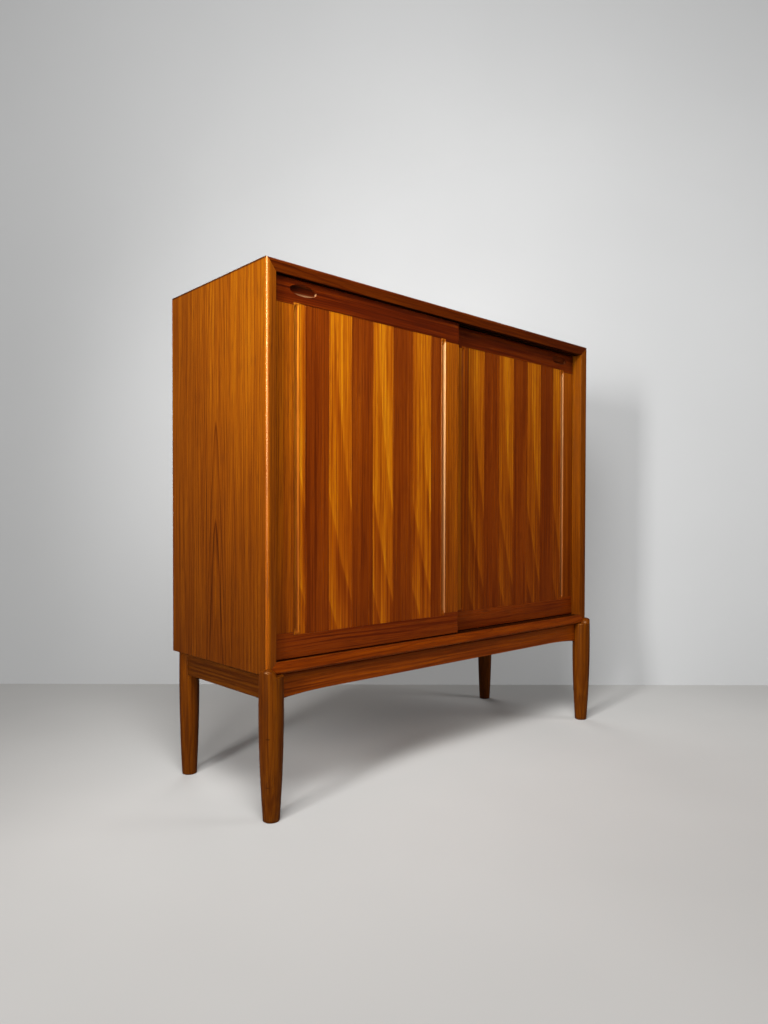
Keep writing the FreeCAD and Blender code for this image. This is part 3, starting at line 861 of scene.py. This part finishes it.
# The right door's light staves are painted darker, most at the foot, as painted shade
light_stave = stave_teak(
    "light_stave", light_colours, seed=5.0, drift=0.12, flame_share=0.18, right_door_shade=(0.62, 0.12),
    ground=0.30, fall=0.52, wander=0.006, streak_share=0.50,
)
dark_stave = stave_teak(
    "dark_stave", dark_colours, seed=6.0, drift=0.9, flame_share=0.0,
    ground=0.18, fall=0.08, wander=0.004, streak_share=0.52,
)
front_apron_teak = teak_board("front_apron_teak", "ZYX", 0.1, apron_colours, plain_figure, seed=7.0)
side_apron_shaded_teak = teak_board("side_apron_shaded_teak", "ZXY", 0.1, side_apron_shaded_colours, plain_figure, seed=8.0)
leg_teak = knotted_leg("leg_teak", seed=9.0)
shelf_veneer = teak_board("shelf_veneer", "YZX", 0.06, inner_colours, arched_figure, seed=10.0)
divider_veneer = teak_board("divider_veneer", "YXZ", 0.03, inner_colours, arched_figure, seed=11.0)
back_plywood = teak_board(
    "back_plywood", "XYZ", 0.15, ply_colours, arched_figure, seed=12.0, ring_width=0.02,
)
core_veneer = teak_board(
    "core_veneer", "XYZ", 0.25, inner_colours, arched_figure, seed=13.0, ring_width=0.014,
)
beech = teak_board("beech", "ZYX", 0.5, beech_colours, plain_figure, seed=14.0)
screw_steel = metal("screw_steel", (0.56, 0.55, 0.52), (0.30, 0.28, 0.25), rough=0.30)
pin_brass = metal("pin_brass", (0.72, 0.52, 0.22), (0.42, 0.28, 0.12), rough=0.25)
glide_nylon = nylon()


def body_of(node):
    return frame["nodes"][node]["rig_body"]


def add_piece(name, mesh, material):
    mesh.materials.clear()
    mesh.materials.append(material)
    piece = bpy.data.objects.new(name, mesh)
    bpy.context.scene.collection.objects.link(piece)
    return piece


def stand_for(piece, node):
    """The piece takes the place of a node of the frame, on the node's own body."""
    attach(piece, body_of(node))
    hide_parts(node)


def joined_skin(node):
    """The node's faces joined at their edges."""
    skin = bmesh.new()
    skin.from_mesh(frame["nodes"][node].data)
    bmesh.ops.remove_doubles(skin, verts=skin.verts, dist=weld_distance)
    return skin


def welded(node):
    """The node's skin with the flat faces merged."""
    skin = joined_skin(node)
    bmesh.ops.dissolve_limit(skin, angle_limit=flat_angle, verts=skin.verts, edges=skin.edges)
    return skin


def shade_round(mesh):
    """Round faces shaded smooth, and edges left sharp."""
    mesh.shade_smooth()
    mesh.set_sharp_from_angle(angle=smooth_angle)


def skin_piece(name, skin, material):
    """Piece made of a skin, which is used up."""
    mesh = bpy.data.meshes.new(name)
    skin.to_mesh(mesh)
    skin.free()
    shade_round(mesh)
    return add_piece(name, mesh, material)


def make_plain(piece):
    """What the piece's modifiers make becomes its plain mesh."""
    depsgraph = bpy.context.evaluated_depsgraph_get()
    mesh = bpy.data.meshes.new_from_object(piece.evaluated_get(depsgraph))
    piece.modifiers.clear()
    piece.data = mesh
    shade_round(mesh)


def is_square(edge):
    if not (edge.is_manifold and edge.is_convex):
        return False
    return least_square_angle < edge.calc_face_angle() < most_square_angle


def cove_section(share):
    """Depth of the cove as a share of its deepest, from the lip at 0 to the staves at 1."""
    if share < cove_steep_share:
        return math.sqrt(1 - (1 - share / cove_steep_share) ** 2)
    return ((1 - share) / (1 - cove_steep_share)) ** cove_run_out


def swept_cove(skin, node):
    """The stile's round cove made steep at the lip, gentle towards the staves and sloped in at its ends."""
    low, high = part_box(node)
    left = node.endswith("left_stile")
    lip_edge = high.x - cove_width if left else low.x + cove_width
    inward = 1 if left else -1
    for vertex in skin.verts:
        share = (vertex.co.x - lip_edge) * inward / cove_width
        depth = vertex.co.y - low.y
        beside = cove_edge_share < share < 1 - cove_edge_share
        if beside and cove_least_depth < depth < cove_depth + cove_depth_margin:
            round_depth = math.sqrt(1 - (2 * share - 1) ** 2)
            sunk = depth / round_depth * cove_section(share)
            vertex.co.y = low.y + sunk
            to_middle = 1 if vertex.co.z < (low.z + high.z) / 2 else -1
            vertex.co.z += to_middle * cove_end_slope * sunk / cove_depth


def finished_wood(node, material, arris):
    """Piece of wood with its square edges eased and its round faces smooth."""
    skin = welded(node)
    if node.endswith("_stile"):
        swept_cove(skin, node)
    square_edges = [edge for edge in skin.edges if is_square(edge)]
    if arris:
        bmesh.ops.bevel(
            skin,
            geom=square_edges,
            offset=arris,
            segments=1,
            profile=0.5,
            affect="EDGES",
            clamp_overlap=True,
        )
    piece = skin_piece(node + "_wood", skin, material)
    piece.modifiers.new("flat_faces", "WEIGHTED_NORMAL").keep_sharp = True
    stand_for(piece, node)
    return piece


def leg_profile(top, full_radius):
    """Heights and radii of a turned leg, from the rounded foot up."""
    def body_radius(height):
        away = (height - leg_full_height) / leg_full_height
        return full_radius - (full_radius - leg_foot_radius) * away ** 2

    profile = [(0.0, body_radius(0.0) - leg_foot_round)]
    for ring in range(leg_rings + 1):
        height = leg_foot_round + (top - leg_foot_round) * ring / leg_rings
        profile.append((height, body_radius(height)))
    return profile


def turned_skin(profile, axis):
    """Closed skin turned about an upright axis, flat at both ends."""
    skin = bmesh.new()
    turns = [2 * math.pi * side / leg_sides for side in range(leg_sides)]
    rings = []
    for height, radius in profile:
        rings.append([
            skin.verts.new((axis.x + radius * math.cos(turn), axis.y + radius * math.sin(turn), height))
            for turn in turns
        ])
    for low, high in zip(rings, rings[1:]):
        for side in range(leg_sides):
            skin.faces.new((low[side - 1], low[side], high[side], high[side - 1]))
    skin.faces.new(list(reversed(rings[0])))
    skin.faces.new(rings[-1])
    bmesh.ops.recalc_face_normals(skin, faces=skin.faces)
    return skin


def cut_away(piece, cutters):
    """The piece with other objects cut out of it; the cutters are used up."""
    for cutter in cutters:
        scribe = piece.modifiers.new("scribe", "BOOLEAN")
        scribe.object = cutter
        scribe.operation = "DIFFERENCE"
        scribe.solver = "EXACT"
    make_plain(piece)
    for cutter in cutters:
        bpy.data.objects.remove(cutter)


def above_the_ledge(axis, corner):
    """All that is turned off a front leg above its ledge: a block less the ball that leaves the crown."""
    block = bmesh.new()
    size = 4 * crown_radius
    middle = Vector((axis.x, axis.y, corner.z + size / 2))
    bmesh.ops.create_cube(block, size=size, matrix=Matrix.Translation(middle))
    ball = bmesh.new()
    centre = corner + Vector((0, 0, crown_height - crown_radius))
    bmesh.ops.create_uvsphere(
        ball,
        u_segments=leg_sides,
        v_segments=leg_sides // 2,
        radius=crown_radius,
        matrix=Matrix.Translation(centre),
    )
    waste = skin_piece("ledge_waste", block, leg_teak)
    cut_away(waste, [skin_piece("crown_ball", ball, leg_teak)])
    return waste


def board_cutter(node):
    return skin_piece(node + "_cutter", welded(node), leg_teak)


def middle_of(node):
    low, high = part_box(node)
    return (low + high) / 2


def turned_leg(node, full_radius, top):
    skin = turned_skin(leg_profile(top, full_radius), middle_of(node))
    return skin_piece(node + "_turned", skin, leg_teak)


def front_leg(node, side_board):
    """Leg whose crown is scribed to the carcase's corner."""
    leg = turned_leg(node, front_leg_radius, carcase_low.z + crown_height)
    axis = middle_of(node)
    corner = Vector((math.copysign(carcase_low.x, axis.x), carcase_low.y, carcase_low.z))
    cut_away(leg, [above_the_ledge(axis, corner), board_cutter(side_board), board_cutter("bottom_panel")])
    stand_for(leg, node)


def back_leg(node):
    leg = turned_leg(node, back_leg_radius, carcase_low.z)
    stand_for(leg, node)


def solids_of(node):
    """Lowest and highest corner of each separate solid in a node."""
    skin = joined_skin(node)
    left = set(skin.verts)
    boxes = []
    while left:
        reached = [left.pop()]
        corners = []
        while reached:
            vertex = reached.pop()
            corners.append(vertex.co.copy())
            for edge in vertex.link_edges:
                other = edge.other_vert(vertex)
                if other in left:
                    left.remove(other)
                    reached.append(other)
        low = Vector(min(corner[axis] for corner in corners) for axis in range(3))
        high = Vector(max(corner[axis] for corner in corners) for axis in range(3))
        boxes.append((low, high))
    skin.free()
    return sorted(boxes, key=lambda pair: tuple(pair[0]))


def placed_copies(wire, given, item):
    """Ends a tree: the item at every point, facing as the point says, turned by chance on its own axis."""
    facing = wire.node("GeometryNodeInputNamedAttribute", {"Name": "facing"}, data_type="FLOAT_VECTOR")
    outward = facing.outputs["Attribute"]
    turned = wire.node("FunctionNodeAlignRotationToVector", {"Vector": outward}, axis="Z")
    copies = wire.node("GeometryNodeInstanceOnPoints", {
        "Points": given["Points"],
        "Instance": item,
        "Rotation": turned.outputs[0],
    })
    chance = wire.node("FunctionNodeRandomValue", {"Seed": turning_seed, 3: math.pi}, data_type="FLOAT")
    spin = wire.vector(0.0, 0.0, chance.outputs[1])
    spun = wire.node("GeometryNodeRotateInstances", {"Instances": copies.outputs[0], "Rotation": spin})
    solid = wire.node("GeometryNodeRealizeInstances", {"Geometry": spun.outputs[0]})
    dressed = wire.node("GeometryNodeSetMaterial", {
        "Geometry": solid.outputs[0],
        "Material": given["Material"],
    })
    wire.node("NodeGroupOutput", {"Geometry": dressed.outputs[0]})


def joined(wire, meshes):
    node = wire.node("GeometryNodeJoinGeometry")
    for mesh in meshes:
        wire.tree.links.new(mesh, node.inputs[0])
    return node.outputs[0]


def raised(wire, mesh, height):
    place = wire.vector(0.0, 0.0, height)
    return wire.node("GeometryNodeTransform", {"Geometry": mesh, "Translation": place}).outputs[0]


def cone(wire, sides, foot_radius, top_radius, length, foot, rows=1):
    """Upright cone, or bar, with its foot at this height."""
    mesh = wire.node("GeometryNodeMeshCone", {
        "Vertices": sides,
        "Side Segments": rows,
        "Radius Bottom": foot_radius,
        "Radius Top": top_radius,
        "Depth": length,
    })
    return raised(wire, mesh.outputs["Mesh"], foot)


def fastener_group(name, sizes):
    """Node group that makes a fastener of these named sizes at every point."""
    inputs = {"Points": geometry_socket, "Material": material_socket, **dict.fromkeys(sizes, number_socket)}
    return new_group(name, "GeometryNodeTree", inputs, {"Geometry": geometry_socket})


def screw_tree():
    """Countersunk screw with a slot and a thread, its head flush with Z = 0 and its point down."""
    tree, wire, given = fastener_group("slotted_screw", back_screw)
    head_radius = given["Head Radius"]
    shank_radius = given["Shank Radius"]
    slot_width = given["Slot Width"]
    head_height = wire.math("SUBTRACT", head_radius, shank_radius)
    head = cone(wire, head_sides, shank_radius, head_radius, head_height, wire.product(head_height, -1.0))
    slot_length = wire.product(head_radius, slot_length_share)
    slot_size = wire.vector(slot_length, slot_width, wire.product(slot_width, slot_depth_share))
    slot = wire.node("GeometryNodeMeshCube", {"Size": slot_size}).outputs["Mesh"]
    meshes = {0: head, 1: slot}
    slotted = wire.node("GeometryNodeMeshBoolean", meshes, operation="DIFFERENCE", solver="EXACT")
    shank_length = wire.math("SUBTRACT", given["Length"], head_height)
    point = wire.product(given["Length"], -1.0)
    point_radius = wire.product(shank_radius, screw_point_share)
    shank = cone(wire, shank_sides, point_radius, shank_radius, shank_length, point)
    pitch = wire.product(shank_radius, thread_pitch_share)
    spiral = wire.node("GeometryNodeCurveSpiral", {
        "Resolution": thread_steps,
        "Rotations": wire.math("DIVIDE", shank_length, pitch),
        "Start Radius": wire.product(shank_radius, thread_point_share),
        "End Radius": shank_radius,
        "Height": wire.product(shank_length, thread_length_share),
    })
    ridge = wire.node("GeometryNodeCurvePrimitiveCircle", {
        "Resolution": ridge_sides,
        "Radius": wire.product(shank_radius, thread_ridge_share),
    })
    thread = wire.node("GeometryNodeCurveToMesh", {
        "Curve": spiral.outputs[0],
        "Profile Curve": ridge.outputs["Curve"],
        "Fill Caps": True,
    })
    wound = raised(wire, thread.outputs[0], point)
    placed_copies(wire, given, joined(wire, (slotted.outputs[0], shank, wound)))
    return tree


def pin_tree():
    """Pin along Z from its seated end, with a narrower nose."""
    tree, wire, given = fastener_group("shelf_pin", ("Radius", "Length"))
    radius = given["Radius"]
    nose_length = wire.product(radius, pin_nose_share)
    stem_length = wire.math("SUBTRACT", given["Length"], nose_length)
    stem = cone(wire, pin_sides, radius, radius, stem_length, 0.0)
    tip_radius = wire.product(radius, pin_tip_share)
    tip = cone(wire, pin_sides, radius, tip_radius, nose_length, stem_length, rows=2)
    placed_copies(wire, given, joined(wire, (stem, tip)))
    return tree


def fasteners(node, tree, sizes, material, places):
    """One piece of all the fasteners of a node; places are pairs of a point and a facing."""
    name = node + "_set"
    points = bpy.data.meshes.new(name)
    points.from_pydata([place for place, facing in places], [], [])
    facings = points.attributes.new("facing", "FLOAT_VECTOR", "POINT")
    for item, (place, facing) in zip(facings.data, places):
        item.vector = facing
    piece = add_piece(name, points, material)
    copies = piece.modifiers.new("copies", "NODES")
    copies.node_group = tree
    for socket in tree.interface.items_tree:
        if socket.in_out == "INPUT" and socket.name in sizes:
            copies[socket.identifier] = sizes[socket.name]
        if socket.in_out == "INPUT" and socket.name == "Material":
            copies[socket.identifier] = material
    make_plain(piece)
    stand_for(piece, node)


def back_screw_places():
    """Heads flush with the back panel, facing back."""
    return [
        (Vector(((low.x + high.x) / 2, high.y, (low.z + high.z) / 2)), Vector((0, 1, 0)))
        for low, high in solids_of("back_screws")
    ]


def base_screw_places():
    """Heads flush with the undersides of the cleats, facing down."""
    return [
        (Vector(((low.x + high.x) / 2, (low.y + high.y) / 2, low.z)), Vector((0, 0, -1)))
        for low, high in solids_of("base_screws")
    ]


def pin_places():
    """Each pin starts in the board that it is set in and points away from it."""
    boards = [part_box(node) for node in ("left_side_panel", "centre_divider", "right_side_panel")]
    middles = [(low.x + high.x) / 2 for low, high in boards]
    places = []
    for low, high in solids_of("shelf_pins"):
        centre = (low + high) / 2
        board_x = min(middles, key=lambda middle: abs(middle - centre.x))
        facing = Vector((1 if centre.x > board_x else -1, 0, 0))
        places.append((centre - facing * (high.x - low.x) / 2, facing))
    return places


def dress_carcase():
    finished_wood("left_side_panel", left_side_veneer, board_arris)
    finished_wood("right_side_panel", right_side_veneer, board_arris)
    finished_wood("top_panel", top_veneer, board_arris)
    finished_wood("bottom_panel", bottom_veneer, board_arris)
    for side in ("left", "right"):
        for level in ("lower", "upper"):
            finished_wood(side + "_" + level + "_shelf", shelf_veneer, shelf_arris)
    finished_wood("centre_divider", divider_veneer, board_arris)
    finished_wood("back_panel", back_plywood, board_arris)


def dress_stand():
    front_leg("front_left_leg", "left_side_panel")
    front_leg("front_right_leg", "right_side_panel")
    back_leg("back_left_leg")
    back_leg("back_right_leg")
    for node in ("front_apron", "back_apron"):
        finished_wood(node, front_apron_teak, apron_arris)
    for node in ("left_apron", "right_apron"):
        finished_wood(node, side_apron_shaded_teak, apron_arris)
    for node in ("front_cleat", "back_cleat"):
        finished_wood(node, beech, board_arris)


def dress_door(door):
    for rail in ("top_rail", "bottom_rail"):
        finished_wood(door + "_" + rail, rail_teak[door], frame_arris)
    for stile in (door + "_left_stile", door + "_right_stile"):
        finished_wood(stile, stile_teak[stile], frame_arris)
    finished_wood(door + "_core", core_veneer, frame_arris)
    finished_wood(door + "_light_staves", light_stave, 0.0)
    finished_wood(door + "_dark_staves", dark_stave, 0.0)


def dress_node(node, material):
    """A node of the frame that shows as it is, in its own finish."""
    shown = frame["nodes"][node]
    shown.data.materials.clear()
    shown.data.materials.append(material)


def pale_stage(name, colour, glow):
    """Plain matt paint, a little uneven, which may glow faintly of itself; seen from behind it is clear."""
    material, wire, shader, place = new_material(name)
    waves = wire.noise(place, paint_waves, 3)
    uneven = wire.spread(waves, *paint_wave_limits, dullest_share, palest_share)
    wire.fill(shader, {
        "Base Color": wire.mix(uneven, (0.0, 0.0, 0.0, 1.0), (*colour, 1.0)),
        "Roughness": paint_roughness,
        "Specular IOR Level": paint_specular,
        "Emission Color": (*colour, 1.0),
        "Emission Strength": glow,
    })
    clear = wire.node("ShaderNodeBsdfTransparent")
    behind = wire.node("ShaderNodeNewGeometry").outputs["Backfacing"]
    either = wire.node("ShaderNodeMixShader", {0: behind, 1: shader.outputs[0], 2: clear.outputs[0]})
    output = next(node for node in material.node_tree.nodes if node.type == "OUTPUT_MATERIAL")
    wire.fill(output, {"Surface": either.outputs[0]})
    return material


def stage_sheet(name, corners, material):
    mesh = bpy.data.meshes.new(name)
    mesh.from_pydata(corners, [], [range(len(corners))])
    sheet = add_piece(name, mesh, material)
    return sheet


def build_stage():
    reach = floor_reach
    floor_corners = [(-reach, -reach, 0), (reach, -reach, 0), (reach, reach, 0), (-reach, reach, 0)]
    floor = stage_sheet("floor", floor_corners, pale_stage("floor_paint", floor_colour, glow=0.0))
    floor.visible_glossy = False
    away = Vector((math.sin(camera_yaw), math.cos(camera_yaw), 0))
    along = Vector((math.cos(camera_yaw), -math.sin(camera_yaw), 0)) * wall_half_width
    foot = away * wall_distance
    rise = Vector((0, 0, wall_height))
    wall_corners = [foot - along, foot + along, foot + along + rise, foot - along + rise]
    wall = stage_sheet("wall", wall_corners, pale_stage("wall_paint", wall_colour, wall_glow))
    wall.visible_shadow = False
    wall.visible_diffuse = False
    wall.visible_glossy = False


def soft_light(name, place, target, width, height, spread, power):
    data = bpy.data.lights.new(name, "AREA")
    data.shape = "RECTANGLE"
    data.size = width
    data.size_y = height
    data.spread = math.radians(spread)
    data.energy = power
    light = bpy.data.objects.new(name, data)
    light.location = place
    light.rotation_euler = (Vector(target) - Vector(place)).to_track_quat("-Z", "Y").to_euler()
    bpy.context.scene.collection.objects.link(light)
    return light


def build_light():
    soft_light(
        "lamp_above_camera", place=(-1.32, -1.2, 2.55), target=(0.0, 0.0, 0.9),
        width=1.2, height=1.2, spread=open_beam, power=70.0,
    )
    soft_light(
        "window_strip", place=(-2.4, -0.72, 1.4), target=(-0.6, -0.1, 1.05),
        width=0.35, height=1.1, spread=narrow_beam, power=11.0,
    )
    fill_light = soft_light(
        "fill_light", place=(1.9, -2.2, 1.8), target=(0.7, 0.0, 0.8),
        width=1.0, height=1.0, spread=open_beam, power=18.0,
    )
    fill_light.visible_glossy = False
    soft_light(
        "back_light", place=(1.2, 2.4, 2.2), target=(0.0, 0.2, 0.7),
        width=2.0, height=2.0, spread=open_beam, power=24.0,
    )
    world = bpy.data.worlds.new("soft_room")
    world.use_nodes = True
    background = next(node for node in world.node_tree.nodes if node.type == "BACKGROUND")
    background.inputs["Color"].default_value = room_colour
    background.inputs["Strength"].default_value = room_strength
    bpy.context.scene.world = world
    bpy.context.scene.view_settings.view_transform = "Standard"


def build_camera():
    ahead = Vector((
        math.sin(camera_yaw) * math.cos(camera_pitch),
        math.cos(camera_yaw) * math.cos(camera_pitch),
        math.sin(camera_pitch),
    ))
    level = Vector((math.cos(camera_yaw), -math.sin(camera_yaw), 0))
    upright = level.cross(ahead)
    right = math.cos(camera_roll) * level + math.sin(camera_roll) * upright
    up = right.cross(ahead)
    turn = Matrix((right, up, -ahead)).transposed().to_4x4()
    data = bpy.data.cameras.new("camera")
    data.sensor_width = sensor_size
    data.lens = focal_pixels * sensor_size / photo_height
    data.shift_y = (optical_centre_y - photo_height / 2) / photo_height
    camera = bpy.data.objects.new("camera", data)
    camera.matrix_world = Matrix.Translation(camera_place) @ turn
    bpy.context.scene.collection.objects.link(camera)
    bpy.context.scene.camera = camera


dress_carcase()
dress_stand()
for door in ("left_door", "right_door"):
    dress_door(door)
    dress_node(door + "_glides", glide_nylon)
dress_node("corner_splines", beech)
screw = screw_tree()
fasteners("back_screws", screw, back_screw, screw_steel, back_screw_places())
fasteners("base_screws", screw, base_screw, screw_steel, base_screw_places())
pin_length = max(high.x - low.x for low, high in solids_of("shelf_pins"))
pin_sizes = {"Radius": pin_radius, "Length": pin_length}
fasteners("shelf_pins", pin_tree(), pin_sizes, pin_brass, pin_places())
build_stage()
build_light()
build_camera()
